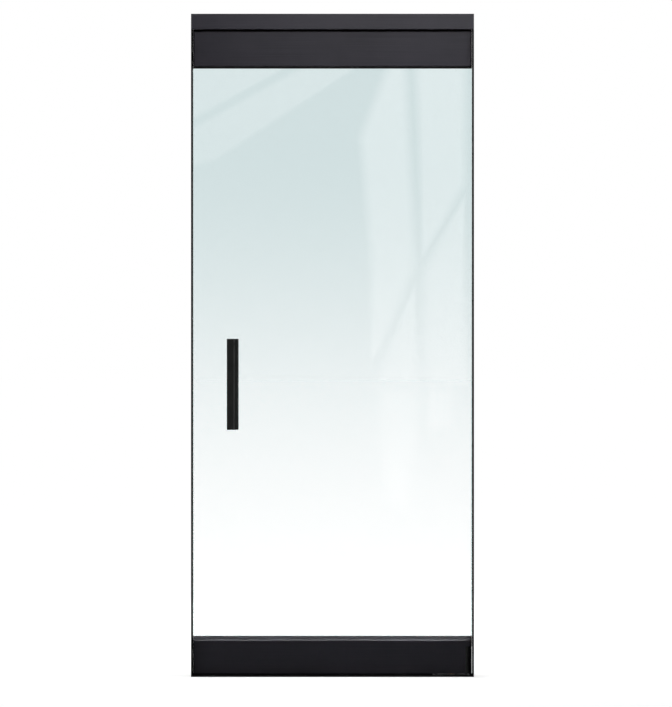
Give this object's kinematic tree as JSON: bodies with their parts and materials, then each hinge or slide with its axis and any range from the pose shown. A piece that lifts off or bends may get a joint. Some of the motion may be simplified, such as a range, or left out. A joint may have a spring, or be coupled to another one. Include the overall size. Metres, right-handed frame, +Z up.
{
  "type": "glass door with frame",
  "caption": "Full-glass swing door leaf with dark metal top and bottom rails and an upright pull, hung on centre pivots in a slim frame with a closer in the header.",
  "frame": {"origin": "on the floor, in the middle of the frame's width and depth", "axes": "+Z up; +X from the lead edge to the pivot side as seen from the front; the front faces -Y"},
  "size_m": [0.914, 0.128, 2.142],
  "materials": {
    "header_metal": "satin black anodised",
    "jamb_metal": "matt black anodised",
    "rail_metal": "satin black anodised",
    "heel_metal": "matt black cast",
    "pull_coating": "satin black powder coat",
    "door_glass": "clear toughened, pale green edge",
    "gasket_rubber": "matt",
    "pile": "woven pile",
    "steel": "zinc plated",
    "black_steel": "oil blackened",
    "closer_casting": "painted casting",
    "bronze": "turned",
    "nylon": "moulded"
  },
  "bodies": {
    "frame": {"header": "header_metal", "header_cover": "header_metal", "header_pile": "pile", "header_bracket_left": "steel", "header_bracket_right": "steel", "header_bracket_screws": "steel", "jamb_left": "jamb_metal", "jamb_right": "jamb_metal", "jamb_cover_strip": "jamb_metal", "jamb_screws": "steel", "jamb_pile_left": "pile", "jamb_pile_right": "pile", "threshold": "jamb_metal", "floor_pivot_plate": "black_steel", "floor_pivot_pin": "steel", "closer_body": "closer_casting", "closer_screws": "steel", "closer_valves": "bronze"},
    "leaf": {"glass_panel": "door_glass", "top_rail": "rail_metal", "bottom_rail": "rail_metal", "top_gasket_front": "gasket_rubber", "top_gasket_back": "gasket_rubber", "bottom_gasket_front": "gasket_rubber", "bottom_gasket_back": "gasket_rubber", "glass_setting_blocks": "gasket_rubber", "glass_top_pads": "gasket_rubber", "top_clamp_wedges": "nylon", "bottom_clamp_wedges": "nylon", "top_rail_lead_cap": "rail_metal", "top_rail_heel_cap": "rail_metal", "bottom_rail_lead_cap": "rail_metal", "bottom_rail_heel": "heel_metal", "cap_screws": "steel", "heel_screws": "steel", "top_rail_filler": "rail_metal", "bottom_rail_filler": "rail_metal", "bottom_sweep": "pile", "closer_spindle": "black_steel", "closer_arm": "black_steel", "closer_arm_screws": "steel", "bottom_pivot_block": "steel", "pivot_bush": "bronze", "pivot_block_screws": "steel", "front_pull_bar": "pull_coating", "back_pull_bar": "pull_coating", "front_pull_posts": "pull_coating", "back_pull_posts": "pull_coating", "pull_studs": "steel", "pull_bushes": "nylon", "pull_washers": "nylon", "pull_grub_screws": "steel"}
  },
  "joints": [
    {"name": "leaf_swing", "type": "hinge", "parent": "frame", "child": "leaf", "pos_m": [0.384, 0, 0], "axis": [0, 0, 1], "range_deg": [-90, 90], "stiffness_Nm_per_rad": 12}
  ]
}
